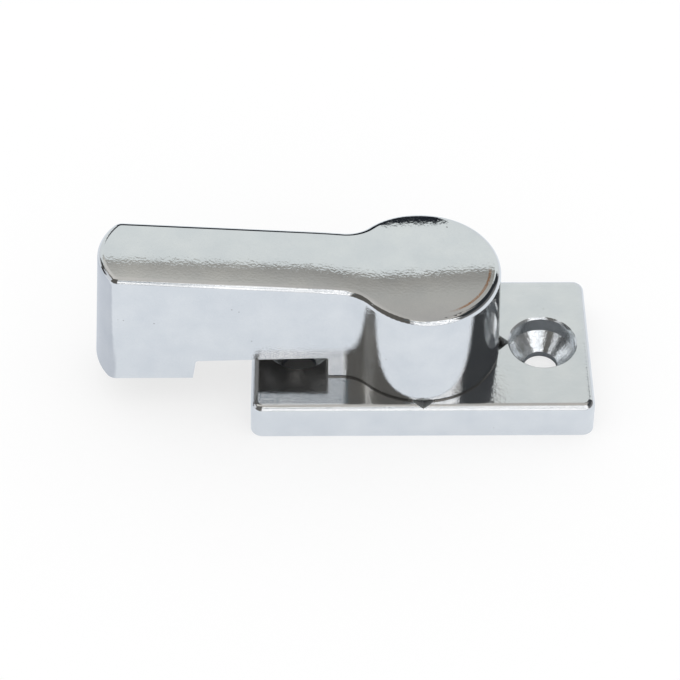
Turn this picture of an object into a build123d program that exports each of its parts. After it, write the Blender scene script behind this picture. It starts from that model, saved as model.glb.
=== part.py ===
from build123d import *
import os
from math import cos, radians, sin, tan

# Door turn button: a die-cast lever that turns on a die-cast base plate.
# Millimetres. The origin is where the pivot axis meets the plate's mounting face,
# +Z is up out of the mounting face, and at rest the lever's arm points to -X.

# Base plate
plate_length = 44.6
plate_width = 23.2
plate_height = 5.2
plate_corner = 1.6
plate_draft = 1.4
plate_edge_round = 0.95

# Screw holes of the plate: a straight recess for the head, a cone and a short clearance hole
screw_pitch = 32.0
screw_hole_radius = 2.25
head_recess_radius = 4.3
head_recess_depth = 2.3
head_cone_angle = 90.0
head_rim_chamfer = 0.25

# Detent grooves across the plate's top, spaced evenly round the pivot
detent_count = 4
groove_half_width = 1.33
groove_depth = 0.95
groove_run_out = 1.35
groove_tip = 0.05

# Pocket in the plate's underside, which holds the washer and the screw's head
pocket_radius = 7.5
pocket_depth = 3.0

# Lever's outline, drawn at the height of the heel and narrowing upwards
heel_height = 4.9
hub_radius = 10.3
arm_width = 11.9
arm_reach = 42.65
neck_radius = 4.5
nose_radius = 9.0
lever_draft = 1.8
nose_draft = 4.6

# Lever's top: an arm that climbs to its nose, a level hub and, between them, a smooth step that
# starts on the arm's side of the pivot and ends past it
hub_top = 19.4
nose_top = 22.85
arm_slope = 0.07
neck_step_start = 14.0
neck_step_end = 2.0
top_round = 0.85
nose_corner_round = 1.5

# Lever's underside: the heel, the relief over the plate's end and the block at the neck
heel_inner_reach = 29.8
heel_inner_slant = 9.5
relief_gap = 3.0
relief_slope = 0.03
relief_corner_round = 0.4
heel_corner_round = 0.5
neck_block_reach = 12.2
foot_clearance = 0.1
lower_edge_chamfer = 0.2

# Hollow of the barrel, with its centre boss, its webs and a lug on each web
barrel_wall = 1.95
boss_radius = 4.9
core_top = 16.5
web_thickness = 1.6
web_clearance = 0.05
lug_width = 1.2
lug_length = 0.9

# Pivot: a spigot of the lever in the plate's bore, a washer and a low headed screw
spigot_radius = 3.5
pivot_clearance = 0.05
washer_radius = 6.4
washer_thickness = 1.0
washer_bore_clearance = 0.15
washer_clearance = 0.08
screw_radius = 2.0
screw_clearance = 0.02
screw_length = 8.5
screw_end_gap = 0.5
screw_end_chamfer = 0.4
screw_head_radius = 3.6
screw_head_height = 1.5
screw_head_chamfer = 0.4
cross_slot_width = 0.9
cross_slot_length = 4.4
cross_slot_depth = 0.8

# Detent spring: a pressed ring with a nose in each groove
spring_thickness = 0.3
spring_lift = 0.3
spring_wall_gap = 0.3
spring_boss_gap = 0.4
nose_dip = 0.5
nose_clearance = 0.08
nose_strip_width = 4.4
notch_clearance = 0.15

# How far a cutting shape reaches past what it cuts
cut_margin = 1.0

# Levels and places that follow from the sizes above
foot_level = plate_height + foot_clearance
relief_level = plate_height + relief_gap
blank_height = nose_top + cut_margin - heel_height
nose_lean = tan(radians(nose_draft)) * blank_height
heel_lean = tan(radians(heel_inner_slant)) * (relief_level - heel_height)
relief_rise = relief_slope * (heel_inner_reach - neck_block_reach)
core_radius = hub_radius - barrel_wall
detent_step = 360 / detent_count
web_angle = detent_step / 2
spring_level = plate_height + spring_lift
web_level = spring_level + spring_thickness + web_clearance
washer_top = pocket_depth - washer_clearance
washer_underside = washer_top - washer_thickness
screw_underside = washer_underside - screw_head_height


def radial_plane(number):
    """Upright plane at the pivot, at the plate's top, that faces out along a detent groove."""
    angle = radians(number * detent_step)
    outwards = (cos(angle), sin(angle), 0)
    sideways = (-sin(angle), cos(angle), 0)
    return Plane(origin=(0, 0, plate_height), x_dir=sideways, z_dir=outwards)


def groove_half_width_at(height):
    """Half width of a groove's V, or of its flanks drawn on upwards, at a height from the plate's top."""
    return groove_half_width * (groove_depth + height) / groove_depth


# Base plate: a drafted slab with a rounded top edge
with BuildPart() as base_plate:
    with BuildSketch():
        RectangleRounded(plate_length, plate_width, plate_corner)
    extrude(amount=plate_height, taper=plate_draft)
    fillet(base_plate.faces().sort_by(Axis.Z)[-1].edges(), plate_edge_round)

    # Screw holes: recess, cone and clearance hole, with a chamfered rim
    with BuildSketch(Plane.XY.offset(plate_height)):
        with GridLocations(screw_pitch, 0, 2, 1):
            Circle(head_recess_radius)
    extrude(amount=-head_recess_depth, mode=Mode.SUBTRACT)
    rims = base_plate.edges().filter_by(GeomType.CIRCLE).group_by(Axis.Z)[-1]
    chamfer(rims, head_rim_chamfer)
    with Locations(Plane.XY.offset(plate_height - head_recess_depth)):
        with GridLocations(screw_pitch, 0, 2, 1):
            CounterSinkHole(screw_hole_radius, head_recess_radius, counter_sink_angle=head_cone_angle)

    # Pivot bore and the pocket under it
    Hole(spigot_radius + pivot_clearance)
    with BuildSketch():
        Circle(pocket_radius)
    extrude(amount=pocket_depth, mode=Mode.SUBTRACT)

    # Grooves: a V that runs out in a point just past the barrel's foot
    for number in range(detent_count):
        middle = radial_plane(number)
        with BuildSketch(middle):
            Polygon((-groove_half_width, 0), (0, -groove_depth), (groove_half_width, 0), align=None)
        extrude(amount=hub_radius, mode=Mode.SUBTRACT)
        with BuildSketch(middle.offset(hub_radius)):
            Polygon((-groove_half_width, 0), (0, -groove_depth), (groove_half_width, 0), align=None)
        with BuildSketch(middle.offset(hub_radius + groove_run_out)):
            Polygon((-groove_tip, 0), (0, -groove_tip), (groove_tip, 0), align=None)
        loft(mode=Mode.SUBTRACT)
base_plate.part.label = "base_plate"

# Turn lever: hub and arm in one drafted casting
with BuildPart() as turn_lever:
    with BuildSketch(Plane.XY.offset(heel_height)) as outline:
        Circle(hub_radius)
        with Locations((-arm_reach / 2, 0)):
            Rectangle(arm_reach, arm_width)
        neck = outline.vertices().filter_by(lambda v: -hub_radius < v.X < 0)
        fillet(neck, neck_radius)
    extrude(amount=blank_height, taper=lever_draft)

    # Nose: the arm's end is cut to an arc in plan, which leans in as it rises
    nose_plane = Plane(origin=(nose_radius - arm_reach, 0, heel_height), x_dir=(0, -1, 0), z_dir=(-1, 0, 0))
    with BuildSketch(nose_plane):
        Polygon((nose_radius, 0), (nose_radius - nose_lean, blank_height), (2 * nose_radius, blank_height),
                (2 * nose_radius, 0), align=None)
    revolve(axis=Axis(nose_plane.origin, (0, 0, -1)), revolution_arc=180, mode=Mode.SUBTRACT)
    nose_corners = turn_lever.edges().filter_by(
        lambda e: e.center().X < nose_radius - arm_reach and abs(e.center().Y) > arm_width / 4)
    fillet(nose_corners, nose_corner_round)
    chamfer(turn_lever.faces().sort_by(Axis.Z)[0].edges(), lower_edge_chamfer)

    # Top: the arm's slope, the smooth step at the neck and the level hub
    with BuildSketch(Plane.XZ):
        with BuildLine():
            step_top = nose_top - arm_slope * (arm_reach - neck_step_start)
            left = -arm_reach - cut_margin
            right = hub_radius + cut_margin
            above = heel_height + blank_height + cut_margin
            slope = Line((left, nose_top + arm_slope * cut_margin), (-neck_step_start, step_top))
            step = Spline(slope @ 1, (neck_step_end, hub_top), tangents=((1, -arm_slope), (1, 0)))
            level = Line(step @ 1, (right, hub_top))
            Polyline(level @ 1, (right, above), (left, above), slope @ 0)
        make_face()
    extrude(amount=hub_radius + cut_margin, both=True, mode=Mode.SUBTRACT)
    top_faces = turn_lever.faces().filter_by(lambda f: f.normal_at().Z > 0.9)
    fillet(top_faces.edges().filter_by(Axis.Y, reverse=True), top_round)

    # Underside: the relief between the heel and the neck block, and the level of the foot
    with BuildSketch(Plane.XZ) as relief:
        Polygon((-heel_inner_reach - cut_margin, heel_height), (-heel_inner_reach, heel_height),
                (-heel_inner_reach + heel_lean, relief_level), (-neck_block_reach, relief_level + relief_rise),
                (-neck_block_reach, heel_height - cut_margin),
                (-heel_inner_reach - cut_margin, heel_height - cut_margin), align=None)
        upper_corners = relief.vertices().filter_by_position(Axis.Y, relief_level, relief_level + relief_rise)
        fillet(upper_corners, relief_corner_round)
        heel_corner = relief.vertices().filter_by_position(Axis.X, -heel_inner_reach, -heel_inner_reach)
        fillet(heel_corner, heel_corner_round)
        with Locations((-neck_block_reach, foot_level)):
            Rectangle(neck_block_reach + hub_radius + cut_margin, cut_margin, align=(Align.MIN, Align.MAX))
    extrude(amount=hub_radius + cut_margin, both=True, mode=Mode.SUBTRACT)
    foot = turn_lever.faces().filter_by(Plane.XY).filter_by_position(Axis.Z, foot_level, foot_level)
    chamfer(foot.edges(), lower_edge_chamfer)

    # Hollow of the barrel: a ring core crossed by webs, each with a lug at its outer end
    with BuildSketch(Plane.XY.offset(foot_level)):
        Circle(core_radius)
        Circle(boss_radius, mode=Mode.SUBTRACT)
    extrude(amount=core_top - foot_level, mode=Mode.SUBTRACT)
    with BuildSketch(Plane.XY.offset(web_level)):
        with PolarLocations(core_radius / 2, detent_count, start_angle=web_angle):
            Rectangle(core_radius + barrel_wall, web_thickness)
    extrude(amount=core_top - web_level)
    with BuildSketch(Plane.XY.offset(foot_level)):
        with PolarLocations(core_radius, detent_count, start_angle=web_angle):
            Rectangle(2 * lug_length, lug_width)
    extrude(amount=web_level - foot_level)

    # Spigot and the screw's hole in it
    with BuildSketch(Plane.XY.offset(washer_top)):
        Circle(spigot_radius)
    extrude(amount=foot_level - washer_top)
    with BuildSketch(Plane.XY.offset(washer_top)):
        Circle(screw_radius + screw_clearance)
    extrude(amount=screw_length - washer_thickness + screw_end_gap, mode=Mode.SUBTRACT)
turn_lever.part.label = "turn_lever"

# Detent spring: a flat ring with a V nose in each groove and a notch round each lug
with BuildPart() as detent_spring:
    with BuildSketch(Plane.XY.offset(spring_level)):
        Circle(core_radius)
        with PolarLocations(core_radius / 2, detent_count):
            Rectangle(core_radius + cut_margin, nose_strip_width, mode=Mode.SUBTRACT)
    extrude(amount=spring_thickness)
    side = nose_strip_width / 2
    root = groove_half_width_at(spring_lift) - nose_clearance
    flat = groove_half_width_at(-nose_dip) - nose_clearance
    underside = [(-side, spring_lift), (-root, spring_lift), (-flat, -nose_dip),
                 (flat, -nose_dip), (root, spring_lift), (side, spring_lift)]
    upper_side = [(across, height + spring_thickness) for across, height in reversed(underside)]
    for number in range(detent_count):
        with BuildSketch(radial_plane(number)):
            Polygon(*underside, *upper_side, align=None)
        extrude(amount=core_radius + cut_margin)
    with BuildSketch(Plane.XY.offset(plate_height - groove_depth)):
        Circle(core_radius - spring_wall_gap)
        Circle(boss_radius + spring_boss_gap, mode=Mode.SUBTRACT)
        with PolarLocations(core_radius, detent_count, start_angle=web_angle):
            Rectangle(2 * (lug_length + notch_clearance), lug_width + 2 * notch_clearance, mode=Mode.SUBTRACT)
    extrude(amount=web_level - plate_height + groove_depth, mode=Mode.INTERSECT)
detent_spring.part.label = "detent_spring"

# Retaining washer under the spigot
with BuildPart() as retaining_washer:
    with BuildSketch(Plane.XY.offset(washer_underside)):
        Circle(washer_radius)
        Circle(screw_radius + washer_bore_clearance, mode=Mode.SUBTRACT)
    extrude(amount=washer_thickness)
retaining_washer.part.label = "retaining_washer"

# Pivot screw: a low head with a cross slot, and a plain shank in the spigot
with BuildPart() as pivot_screw:
    with BuildSketch(Plane.XY.offset(screw_underside)):
        Circle(screw_head_radius)
    extrude(amount=screw_head_height)
    chamfer(pivot_screw.edges().sort_by(Axis.Z)[0], screw_head_chamfer)
    with BuildSketch(Plane.XY.offset(washer_underside)):
        Circle(screw_radius)
    extrude(amount=screw_length)
    chamfer(pivot_screw.edges().sort_by(Axis.Z)[-1], screw_end_chamfer)
    with BuildSketch(Plane.XY.offset(screw_underside)):
        Rectangle(cross_slot_length, cross_slot_width)
        Rectangle(cross_slot_width, cross_slot_length)
    extrude(amount=cross_slot_depth, mode=Mode.SUBTRACT)
pivot_screw.part.label = "pivot_screw"

os.makedirs("parts", exist_ok=True)
export_step(base_plate.part, "parts/base_plate.step")
export_step(turn_lever.part, "parts/turn_lever.step")
export_step(detent_spring.part, "parts/detent_spring.step")
export_step(retaining_washer.part, "parts/retaining_washer.step")
export_step(pivot_screw.part, "parts/pivot_screw.step")
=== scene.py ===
import math

import bpy
from mathutils import Matrix, Vector

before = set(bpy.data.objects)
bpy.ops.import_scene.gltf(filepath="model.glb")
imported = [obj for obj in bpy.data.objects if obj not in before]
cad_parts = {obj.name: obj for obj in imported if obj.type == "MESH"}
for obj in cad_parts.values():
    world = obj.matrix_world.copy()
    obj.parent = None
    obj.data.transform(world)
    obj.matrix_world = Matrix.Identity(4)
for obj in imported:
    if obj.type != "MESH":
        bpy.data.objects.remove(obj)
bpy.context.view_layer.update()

# Camera: the pivot's place in the photograph, in its pixels, and the view's angles
PHOTO_SIZE = 680
SENSOR_WIDTH = 36.0
FOCAL_PIXELS = 2374.2
ORIGIN_PIXEL = (419.783, 368.932)
ORIGIN_DEPTH = 0.31601
ELEVATION = math.radians(47.5)
YAW = math.radians(0.568)
ROLL = math.radians(0.196)
CLIP_START = 0.01

# Floor, in metres, and its colours: as the camera sees it, and as the chrome does. The chrome sees
# a dusk beside the object, and no light comes from the floor in the left hole and under the plate
FLOOR_SIZE = 6.0
FLOOR_GAP = 0.00002
FLOOR_SEEN = (0.35, 0.35, 0.35, 1)
FLOOR_LIFT = (0.655, 0.655, 0.655, 1)
FLOOR_MIRRORED = (0.25, 0.264, 0.28, 1)
FLOOR_SHINE = (0.63, 0.668, 0.71, 1)
FLOOR_DUSK = (0.42, 0.45, 0.5, 1)
DUSK_SPAN = ((-0.2, -0.044), (-0.013, 0.04))
UNDER_ARM = ((-0.0195, -0.0125), (-0.0035, 0.0035))
UNDER_PLATE = ((-0.0215, 0.0215), (-0.0108, 0.0108))
FLOOR_EDGE = 0.0005
DUSK_EDGE = 0.0035

# Brown-grey card over the object, in metres, its shades from the far edge inwards, and its light,
# which grows to the left
CARD_HEIGHT = 0.08
CARD_CORNERS = ((-0.075, -0.014), (0.017, -0.014), (0.017, 0.0589), (-0.075, 0.0512))
CARD_SHADE_WIDTH = 0.01
CARD_LEVEL = 0.95
CARD_FADE = -6.0
CARD_SHADES = ((0.0, 0.3, 0.3, 0.28), (0.12, 0.39, 0.385, 0.36), (0.5, 0.55, 0.55, 0.52),
               (1.0, 0.55, 0.54, 0.515))

# Black flag behind the object, in metres
FLAG_PLACE = 0.04
FLAG_SPAN = (-0.045, 0.0057)
FLAG_HEIGHTS = (0.027, 0.0509)
FLAG_SHADE = (0.02, 0.024, 0.03, 1)

# Studio round the object, in shades by direction. An arc runs from the horizon behind the object,
# over its top, to the horizon in front, as a share of the half turn
WALL = (0.75, 0.78, 0.82, 1)
SOFTBOX = (1.6, 1.6, 1.6, 1)
SOFTBOX_FOLDS = (0.2, 0.25, 0.3, 1)
OVERHEAD = ((0.0, 0.78, 0.82, 0.84), (0.25, 0.82, 0.87, 0.87), (0.275, 0.74, 0.78, 0.77),
            (0.36, 0.52, 0.5, 0.47), (0.58, 0.58, 0.56, 0.52), (0.64, 0.56, 0.54, 0.5),
            (0.89, 0.7, 0.71, 0.72), (0.935, 0.36, 0.39, 0.43), (1.0, 0.75, 0.78, 0.81))
WALL_EDGE = (0.6, 0.8)
FOLD_SCALE = 26.0
FOLD_EDGE = (0.42, 0.49)
DAYLIGHT = (1, 1, 1, 1)

# Flags and softbox: a shade, two bearings and their softness, two heights and their softness, in
# degrees. Bearings turn from straight in front towards +X, and the back patch's from straight
# behind. The slanted patch is cut off below a slanted foot
PATCHES = (
    ((0.33, 0.31, 0.28, 1), (-176, -80, 4), (50, 62, 3)),
    ((0.09, 0.08, 0.07, 1), (-176, -60, 6), (66, 90, 5)),
    ((0.15, 0.145, 0.13, 1), (-105, -60, 8), (44, 78, 6)),
    ((0.12, 0.115, 0.105, 1), (-68, -16, 5), (9, 78, 5)),
    ((0.17, 0.17, 0.17, 1), (50, 126, 6), (14, 40, 6)),
    ((0.03, 0.034, 0.038, 1), (62, 126, 7), (38, 64, 5)),
    ((0.06, 0.06, 0.06, 1), (-110, -99, 4), (0, 22, 4)),
    ((0.08, 0.08, 0.075, 1), (-126, -112, 4), (18, 38, 4)),
    (SOFTBOX, (-8, 44, 3), (9, 66, 5)),
    (SOFTBOX, (18, 58, 4), (50, 74, 6)),
    ((0.14, 0.19, 0.22, 1), (-20, 3, 4), (52.3, 58, 0.5)),
)
BACK_PATCH = ((0.06, 0.065, 0.075, 1), (-15, 1.8, 0.8), (6, 39, 2.5))
SLANTED_PATCH = ((0.03, 0.033, 0.038, 1), (122, 164, 3), (0, 57, 5))
SLANT = 0.9
SLANT_START = -93.5
SLANT_TOP = 47.3
SLANT_EDGE = (-1.0, 0.6)

# Metal skins: wave lengths as noise scales per metre, heights in metres, and roughness that is added
WAVE_SCALE = 700.0
WAVE_HEIGHT = 0.000001
GRAIN_SCALE = 9000.0
GRAIN_HEIGHT = 0.0000002
CAST_SCALE = 2500.0
CAST_HEIGHT = 0.000035
# The lever's as-cast tones are dark: painted shade on its faces that look down
LEVER_CAST_AND_SHADE = ((0.3, 0.2, 0.19, 0.175), (0.7, 0.3, 0.285, 0.265))
PLATE_CAST = ((0.3, 0.74, 0.76, 0.78), (0.7, 0.9, 0.92, 0.93))
PIT_SCALE = 620.0
PIT_SIZE = 0.09
PIT_DEPTH = 0.000006
PIT_KEPT = 0.62
PIT_SHADE = (0.2, 0.19, 0.18, 1)
PIT_ROUGHNESS = 0.4
CLOUD_SCALE = 260.0
CLOUD_ROUGHNESS = 0.04
DULL_ROUGHNESS = 0.03
GRAIN_SHARE = 0.4
CHROME_SHADES = ((0.35, 0.71, 0.72, 0.735), (0.65, 0.79, 0.79, 0.79))
RING_SCALE = 9000.0
RING_ROUGHNESS = 0.2
BLOTCH_SCALE = 900.0
BLOTCH_SHARE = 0.5

# Dull places: the lever's faces that look down, whose dark tones are painted shade, and the plate's
# recesses below its top, inside its rounded edge, in metres. The sides of the plate's front and back
# grooves are matt
FACING_DOWN = -0.3
DULL_TOP = 0.00512
DULL_REACH = 0.0211
DULL_SIDE = 0.0104
GROOVE_SIDE = 0.0014
GROOVE_TILT = 0.35
GROOVE_SKIN = (0.97, 0.99, 0.98, 1)
GROOVE_ROUGHNESS = 0.5

# Mottled skin: the plate's place for it, in front of the barrel, in metres, the tilt up to which the
# lever's faces are walls, and each skin's noise scale and height
MOTTLED = ((-0.0212, 0.0095), (-0.0108, -0.0055))
PLATE_MOTTLE = (2600.0, 0.000012)
LEVER_MOTTLE = (3600.0, 0.000014)
MOTTLE_EDGE = 0.003
WALL_TILT = 0.2

# Painted reflection of a copper strip: a streak inside the barrel's rim, in metres
COPPER_REFLECTION = (0.52, 0.28, 0.15, 1)
REFLECTION_RADIUS = (0.00835, 0.0085)
REFLECTION_REACH = (-0.0068, -0.0012)
REFLECTION_FLOOR = 0.018
REFLECTION_RADIUS_EDGE = 0.00018
REFLECTION_REACH_EDGE = 0.0012
REFLECTION_GRAIN = 6500.0
REFLECTION_BREAKS = (0.3, 0.56)


def make_camera():
    """The camera at the photograph's viewing angle."""
    level_share, drop = math.cos(ELEVATION), math.sin(ELEVATION)
    forward = Vector((math.sin(YAW) * level_share, math.cos(YAW) * level_share, -drop))
    level = Vector((math.cos(YAW), -math.sin(YAW), 0))
    upright = level.cross(forward)
    right = level * math.cos(ROLL) + upright * math.sin(ROLL)
    up = upright * math.cos(ROLL) - level * math.sin(ROLL)
    across, down = ((pixel - PHOTO_SIZE / 2) / FOCAL_PIXELS for pixel in ORIGIN_PIXEL)
    place = -(right * across - up * down + forward) * ORIGIN_DEPTH
    turn = Matrix((right, up, -forward)).transposed().to_4x4()
    data = bpy.data.cameras.new("camera")
    data.lens = FOCAL_PIXELS / PHOTO_SIZE * SENSOR_WIDTH
    data.sensor_width = SENSOR_WIDTH
    data.clip_start = CLIP_START
    camera = bpy.data.objects.new("camera", data)
    camera.matrix_world = Matrix.Translation(place) @ turn
    bpy.context.scene.collection.objects.link(camera)
    bpy.context.scene.camera = camera


def new_material(name):
    """An empty node material: its node tree and its output node."""
    material = bpy.data.materials.new(name)
    material.use_nodes = True
    material.node_tree.nodes.clear()
    output = material.node_tree.nodes.new("ShaderNodeOutputMaterial")
    return material, material.node_tree, output


def join(tree, value, socket):
    """Set a socket to a number or colour, or link it to another node's output."""
    if isinstance(value, bpy.types.NodeSocket):
        tree.links.new(value, socket)
    else:
        socket.default_value = value


def calculate(tree, operation, *values):
    """One Math node."""
    node = tree.nodes.new("ShaderNodeMath")
    node.operation = operation
    for number, value in enumerate(values):
        join(tree, value, node.inputs[number])
    return node.outputs[0]


def product(tree, first, *others):
    """Several values multiplied."""
    for other in others:
        first = calculate(tree, "MULTIPLY", first, other)
    return first


def parts(tree, vector):
    """The X, Y and Z of a vector."""
    node = tree.nodes.new("ShaderNodeSeparateXYZ")
    tree.links.new(vector, node.inputs[0])
    return node.outputs


def facing(tree):
    """The X, Y and Z of the direction that a surface faces."""
    return parts(tree, tree.nodes.new("ShaderNodeNewGeometry").outputs["True Normal"])


def step(tree, value, low, high):
    """A smooth step from 0 at low to 1 at high."""
    node = tree.nodes.new("ShaderNodeMapRange")
    node.interpolation_type = "SMOOTHSTEP"
    join(tree, value, node.inputs["Value"])
    node.inputs["From Min"].default_value = low
    node.inputs["From Max"].default_value = high
    return node.outputs["Result"]


def blend(tree, factor, first, second):
    """A mix of two colours."""
    node = tree.nodes.new("ShaderNodeMix")
    node.data_type = "RGBA"
    join(tree, factor, node.inputs["Factor"])
    join(tree, first, node.inputs["A"])
    join(tree, second, node.inputs["B"])
    return node.outputs["Result"]


def ramp(tree, value, stops):
    """A colour ramp through (place, red, green, blue) stops."""
    node = tree.nodes.new("ShaderNodeValToRGB")
    elements = node.color_ramp.elements
    while len(elements) < len(stops):
        elements.new(1.0)
    for element, (place, *colour) in zip(elements, stops):
        element.position = place
        element.color = (*colour, 1)
    join(tree, value, node.inputs[0])
    return node.outputs["Color"]


def noise(tree, place, scale, detail=2.0, roughness=0.5):
    """A noise pattern's value, 0 to 1."""
    node = tree.nodes.new("ShaderNodeTexNoise")
    join(tree, place, node.inputs["Vector"])
    node.inputs["Scale"].default_value = scale
    node.inputs["Detail"].default_value = detail
    node.inputs["Roughness"].default_value = roughness
    return node.outputs["Fac"]


def window(tree, value, low, high, soft):
    """A mask that is 1 between low and high and fades over soft beyond each."""
    rise = step(tree, value, low - soft, low)
    fall = step(tree, value, high, high + soft)
    return product(tree, rise, calculate(tree, "SUBTRACT", 1.0, fall))


def area(tree, where, spans, soft):
    """A mask that is 1 in a rectangle, given by its spans of X and Y, and fades over soft."""
    along, across = (window(tree, where[axis], *span, soft) for axis, span in zip("XY", spans))
    return product(tree, along, across)


def below(tree, value, limit):
    """1 where a value is below a limit, and 0 elsewhere."""
    return calculate(tree, "LESS_THAN", value, limit)


def pits(tree, place):
    """Sparse tiny pits: 1 in the middle of each, 0 outside."""
    cells = tree.nodes.new("ShaderNodeTexVoronoi")
    join(tree, place, cells.inputs["Vector"])
    cells.inputs["Scale"].default_value = PIT_SCALE
    dot = step(tree, cells.outputs["Distance"], PIT_SIZE, 0.0)
    kept = calculate(tree, "GREATER_THAN", noise(tree, place, PIT_SCALE / 3, detail=0.0), PIT_KEPT)
    return product(tree, dot, kept)


def lever_dull_and_shade(tree, place):
    """Where the lever is left as cast and painted dark as shade: its faces that look down, among them
    the roof of the barrel's hollow.
    """
    return below(tree, facing(tree)["Z"], FACING_DOWN)


def plate_dull(tree, place):
    """Where the plate is left as cast: screw recesses, pocket and mounting face."""
    where = parts(tree, place)
    along, across = (calculate(tree, "ABSOLUTE", where[axis]) for axis in "XY")
    inside = product(tree, below(tree, along, DULL_REACH), below(tree, across, DULL_SIDE))
    return product(tree, inside, below(tree, where["Z"], DULL_TOP))


def plate_grooves(tree, place):
    """The slanted sides of the plate's front and back grooves."""
    tilt = calculate(tree, "ABSOLUTE", facing(tree)["X"])
    narrow = below(tree, calculate(tree, "ABSOLUTE", parts(tree, place)["X"]), GROOVE_SIDE)
    return product(tree, calculate(tree, "GREATER_THAN", tilt, GROOVE_TILT), narrow)


def mottle(tree, place, scale, height):
    """Bumps of a skin that is polished less."""
    return product(tree, noise(tree, place, scale, detail=2.0, roughness=0.6), height)


def plate_mottle(tree, place):
    """Bumps of the plate's mottled place."""
    where = area(tree, parts(tree, place), MOTTLED, MOTTLE_EDGE)
    return product(tree, mottle(tree, place, *PLATE_MOTTLE), where)


def from_axis(tree, place):
    """A point's X, Y and Z, and its distance from the pivot axis."""
    where = parts(tree, place)
    flat = tree.nodes.new("ShaderNodeCombineXYZ")
    tree.links.new(where["X"], flat.inputs["X"])
    tree.links.new(where["Y"], flat.inputs["Y"])
    radius = tree.nodes.new("ShaderNodeVectorMath")
    radius.operation = "LENGTH"
    tree.links.new(flat.outputs[0], radius.inputs[0])
    return where, radius.outputs["Value"]


def lever_mottle(tree, place):
    """Bumps of the lever's walls, which are polished less than its top."""
    wall = below(tree, calculate(tree, "ABSOLUTE", facing(tree)["Z"]), WALL_TILT)
    return product(tree, mottle(tree, place, *LEVER_MOTTLE), wall)


def lever_copper_reflection(tree, place):
    """A painted reflection of a copper strip: a copper streak inside the barrel's rim."""
    where, radius = from_axis(tree, place)
    ring = window(tree, radius, *REFLECTION_RADIUS, REFLECTION_RADIUS_EDGE)
    reach = window(tree, where["Y"], *REFLECTION_REACH, REFLECTION_REACH_EDGE)
    near_top = calculate(tree, "GREATER_THAN", where["Z"], REFLECTION_FLOOR)
    right = calculate(tree, "GREATER_THAN", where["X"], 0.0)
    breaks = step(tree, noise(tree, place, REFLECTION_GRAIN, detail=2.0, roughness=0.7), *REFLECTION_BREAKS)
    return product(tree, ring, reach, near_top, right, breaks)


def chrome(name, find_dull_and_shade, cast_and_shade_tones, haze, softness, peel_scale, peel_height,
           find_bumps, find_matt=None, find_reflection=None):
    """Chrome on a casting: orange peel, grain and pits, and a coarser skin where it is left as cast,
    painted dark as shade on the lever; it can also carry a painted reflection of a copper strip.
    """
    material, tree, output = new_material(name)
    place = tree.nodes.new("ShaderNodeTexCoord").outputs["Object"]
    dull_and_shade = find_dull_and_shade(tree, place)
    cloud = noise(tree, place, CLOUD_SCALE, detail=3.0)
    grain = noise(tree, place, GRAIN_SCALE, detail=2.0)
    cast = noise(tree, place, CAST_SCALE, detail=3.0, roughness=0.6)
    dot = pits(tree, place)
    height = product(tree, noise(tree, place, WAVE_SCALE, detail=1.0), WAVE_HEIGHT)
    peel = noise(tree, place, peel_scale, detail=1.0)
    for skin, depth in ((peel, peel_height), (grain, GRAIN_HEIGHT), (dot, -PIT_DEPTH)):
        height = calculate(tree, "MULTIPLY_ADD", skin, depth, height)
    height = calculate(tree, "ADD", height, find_bumps(tree, place))
    height = calculate(tree, "ADD", height, product(tree, cast, CAST_HEIGHT, dull_and_shade))
    bump = tree.nodes.new("ShaderNodeBump")
    bump.inputs["Distance"].default_value = 1.0
    join(tree, height, bump.inputs["Height"])
    tone = calculate(tree, "MULTIPLY_ADD", grain, GRAIN_SHARE, product(tree, cloud, 1 - GRAIN_SHARE))
    colour = blend(tree, dot, ramp(tree, tone, CHROME_SHADES), PIT_SHADE)
    sheen = softness
    for skin, amount in ((cloud, CLOUD_ROUGHNESS), (dot, PIT_ROUGHNESS), (dull_and_shade, DULL_ROUGHNESS)):
        sheen = calculate(tree, "MULTIPLY_ADD", skin, amount, sheen)
    # Painted reflection of a copper strip, laid on the colour as a streak on the rim
    if find_reflection:
        colour = blend(tree, find_reflection(tree, place), colour, COPPER_REFLECTION)
    if find_matt:
        matt = find_matt(tree, place)
        colour = blend(tree, matt, colour, GROOVE_SKIN)
        sheen = calculate(tree, "MULTIPLY_ADD", matt, GROOVE_ROUGHNESS, sheen)
    # As-cast skin; on the lever's faces that look down its dark tones are painted shade
    colour = blend(tree, dull_and_shade, colour, ramp(tree, cast, cast_and_shade_tones))
    shader = tree.nodes.new("ShaderNodeBsdfPrincipled")
    join(tree, colour, shader.inputs["Base Color"])
    join(tree, sheen, shader.inputs["Roughness"])
    shader.inputs["Metallic"].default_value = 1 - haze
    join(tree, bump.outputs[0], shader.inputs["Normal"])
    tree.links.new(shader.outputs[0], output.inputs[0])
    return material


def turned_steel(name, dark, light, roughness, ring_height):
    """Steel with rings from the lathe or the press round the pivot axis."""
    material, tree, output = new_material(name)
    place = tree.nodes.new("ShaderNodeTexCoord").outputs["Object"]
    where, radius = from_axis(tree, place)
    ring_place = tree.nodes.new("ShaderNodeCombineXYZ")
    tree.links.new(radius, ring_place.inputs["X"])
    tree.links.new(where["Z"], ring_place.inputs["Z"])
    rings = noise(tree, ring_place.outputs[0], RING_SCALE, detail=2.0, roughness=0.7)
    blotch = noise(tree, place, BLOTCH_SCALE, detail=3.0, roughness=0.6)
    bump = tree.nodes.new("ShaderNodeBump")
    bump.inputs["Distance"].default_value = ring_height
    join(tree, calculate(tree, "MULTIPLY_ADD", blotch, BLOTCH_SHARE, rings), bump.inputs["Height"])
    shader = tree.nodes.new("ShaderNodeBsdfPrincipled")
    join(tree, blend(tree, blotch, dark, light), shader.inputs["Base Color"])
    sheen = calculate(tree, "MULTIPLY_ADD", rings, RING_ROUGHNESS, roughness)
    join(tree, sheen, shader.inputs["Roughness"])
    shader.inputs["Metallic"].default_value = 1
    join(tree, bump.outputs[0], shader.inputs["Normal"])
    tree.links.new(shader.outputs[0], output.inputs[0])
    return material


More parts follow.
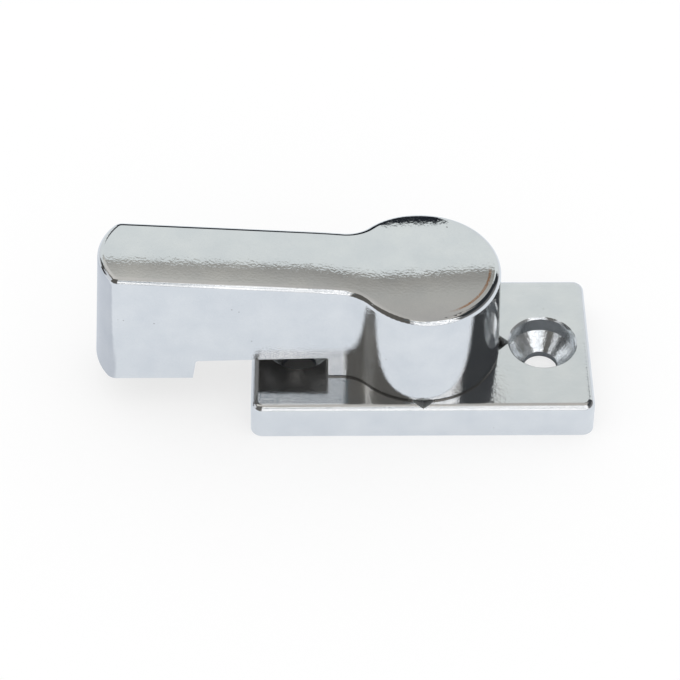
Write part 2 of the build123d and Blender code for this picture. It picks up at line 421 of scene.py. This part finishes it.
def make_floor():
    """A wide pale floor just under the plate's mounting face."""
    half = FLOOR_SIZE / 2
    mesh = bpy.data.meshes.new("floor")
    corners = [(x * half, y * half, -FLOOR_GAP) for x, y in ((-1, -1), (1, -1), (1, 1), (-1, 1))]
    mesh.from_pydata(corners, [], [(0, 1, 2, 3)])
    floor = bpy.data.objects.new("floor", mesh)
    bpy.context.scene.collection.objects.link(floor)
    material, tree, output = new_material("floor")
    camera_ray = tree.nodes.new("ShaderNodeLightPath").outputs["Is Camera Ray"]
    shader = tree.nodes.new("ShaderNodeBsdfDiffuse")
    join(tree, blend(tree, camera_ray, FLOOR_MIRRORED, FLOOR_SEEN), shader.inputs["Color"])
    where = parts(tree, tree.nodes.new("ShaderNodeTexCoord").outputs["Object"])
    shaded = tree.nodes.new("ShaderNodeMix")
    join(tree, camera_ray, shaded.inputs["Factor"])
    join(tree, area(tree, where, UNDER_PLATE, FLOOR_EDGE), shaded.inputs["A"])
    join(tree, area(tree, where, UNDER_ARM, FLOOR_EDGE), shaded.inputs["B"])
    shine = blend(tree, area(tree, where, DUSK_SPAN, DUSK_EDGE), FLOOR_SHINE, FLOOR_DUSK)
    lift = tree.nodes.new("ShaderNodeEmission")
    join(tree, blend(tree, camera_ray, shine, FLOOR_LIFT), lift.inputs["Color"])
    join(tree, calculate(tree, "SUBTRACT", 1.0, shaded.outputs["Result"]), lift.inputs["Strength"])
    both = tree.nodes.new("ShaderNodeAddShader")
    tree.links.new(shader.outputs[0], both.inputs[0])
    tree.links.new(lift.outputs[0], both.inputs[1])
    tree.links.new(both.outputs[0], output.inputs[0])
    mesh.materials.append(material)


def make_board(name, corners):
    """A flat board that only reflections show, with an empty material."""
    mesh = bpy.data.meshes.new(name)
    mesh.from_pydata(corners, [], [(0, 1, 2, 3)])
    board = bpy.data.objects.new(name, mesh)
    bpy.context.scene.collection.objects.link(board)
    for ray in ("camera", "diffuse", "shadow", "transmission", "volume_scatter"):
        setattr(board, "visible_" + ray, False)
    material, tree, output = new_material(name)
    glow = tree.nodes.new("ShaderNodeEmission")
    tree.links.new(glow.outputs[0], output.inputs[0])
    mesh.materials.append(material)
    return tree, glow


def make_boards():
    """The brown-grey card over the object and the black flag behind it."""
    tree, glow = make_board("card", [(x, y, CARD_HEIGHT) for x, y in CARD_CORNERS])
    where = parts(tree, tree.nodes.new("ShaderNodeTexCoord").outputs["Object"])
    (left, left_edge), (right, right_edge) = CARD_CORNERS[3], CARD_CORNERS[2]
    slope = (right_edge - left_edge) / (right - left)
    edge = calculate(tree, "MULTIPLY_ADD", where["X"], slope, left_edge - left * slope)
    inward = calculate(tree, "SUBTRACT", edge, where["Y"])
    shades = ramp(tree, calculate(tree, "DIVIDE", inward, CARD_SHADE_WIDTH), CARD_SHADES)
    join(tree, shades, glow.inputs["Color"])
    light = calculate(tree, "MULTIPLY_ADD", where["X"], CARD_FADE, CARD_LEVEL)
    join(tree, light, glow.inputs["Strength"])
    (start, end), (low, high) = FLAG_SPAN, FLAG_HEIGHTS
    corners = ((start, low), (end, low), (end, high), (start, high))
    tree, glow = make_board("flag", [(x, FLAG_PLACE, z) for x, z in corners])
    glow.inputs["Color"].default_value = FLAG_SHADE


def patch(tree, under, colour, around, rise, around_span, rise_span):
    """Lay a soft-edged patch over the studio, between two bearings and two heights in degrees."""
    mask = product(tree, window(tree, around, *around_span), window(tree, rise, *rise_span))
    return blend(tree, mask, under, colour)


def make_world():
    """A studio round the object by direction: walls, front softbox, ceiling and dark flags."""
    world = bpy.data.worlds.new("world")
    world.use_nodes = True
    tree = world.node_tree
    background = tree.nodes["Background"]
    direction = tree.nodes.new("ShaderNodeTexCoord").outputs["Generated"]
    side, depth, height = parts(tree, direction)
    arc = calculate(tree, "DIVIDE", calculate(tree, "ARCTAN2", height, depth), math.pi)
    rise = calculate(tree, "DEGREES", calculate(tree, "ARCSINE", height))
    nearness = product(tree, depth, -1.0)
    bearing = calculate(tree, "DEGREES", calculate(tree, "ARCTAN2", side, nearness))
    back = calculate(tree, "DEGREES", calculate(tree, "ARCTAN2", side, depth))
    wall = step(tree, calculate(tree, "ABSOLUTE", side), *WALL_EDGE)
    colour = blend(tree, wall, ramp(tree, arc, OVERHEAD), WALL)
    folds = step(tree, noise(tree, direction, FOLD_SCALE, detail=2.0), *FOLD_EDGE)
    softbox = blend(tree, folds, SOFTBOX_FOLDS, SOFTBOX)
    for shade, bearings, heights in PATCHES:
        light = softbox if shade is SOFTBOX else shade
        colour = patch(tree, colour, light, bearing, rise, bearings, heights)
    slanted = calculate(tree, "MULTIPLY_ADD", bearing, SLANT, SLANT_START)
    foot = calculate(tree, "MINIMUM", slanted, SLANT_TOP)
    above = step(tree, calculate(tree, "SUBTRACT", rise, foot), *SLANT_EDGE)
    shade, bearings, heights = SLANTED_PATCH
    flagged = patch(tree, colour, shade, bearing, rise, bearings, heights)
    colour = blend(tree, above, colour, flagged)
    shade, bearings, heights = BACK_PATCH
    colour = patch(tree, colour, shade, back, rise, bearings, heights)
    glossy = tree.nodes.new("ShaderNodeLightPath").outputs["Is Glossy Ray"]
    join(tree, blend(tree, glossy, DAYLIGHT, colour), background.inputs["Color"])
    background.inputs["Strength"].default_value = 1.0
    bpy.context.scene.world = world


make_camera()
make_floor()
make_boards()
make_world()
finishes = {
    # The lever's finish holds painted shade on its faces that look down and a painted copper reflection
    # on the barrel's rim
    "turn_lever": chrome(
        "lever_chrome", lever_dull_and_shade, LEVER_CAST_AND_SHADE, haze=0.0, softness=0.015,
        peel_scale=2900.0, peel_height=0.0000023, find_bumps=lever_mottle, find_reflection=lever_copper_reflection),
    "base_plate": chrome(
        "plate_chrome", plate_dull, PLATE_CAST, haze=0.04, softness=0.07,
        peel_scale=3000.0, peel_height=0.000006, find_bumps=plate_mottle, find_matt=plate_grooves),
    "pivot_screw": turned_steel(
        "zinc_plated_screw", dark=(0.5, 0.52, 0.54, 1), light=(0.66, 0.67, 0.66, 1),
        roughness=0.18, ring_height=0.000003),
    "retaining_washer": turned_steel(
        "zinc_plated_washer", dark=(0.48, 0.5, 0.52, 1), light=(0.62, 0.63, 0.62, 1),
        roughness=0.25, ring_height=0.000002),
    "detent_spring": turned_steel(
        "hardened_spring", dark=(0.2, 0.2, 0.22, 1), light=(0.32, 0.31, 0.3, 1),
        roughness=0.3, ring_height=0.000001),
}
for name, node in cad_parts.items():
    for slot in node.material_slots:
        slot.material = finishes[name]
bpy.context.scene.view_settings.view_transform = "Standard"
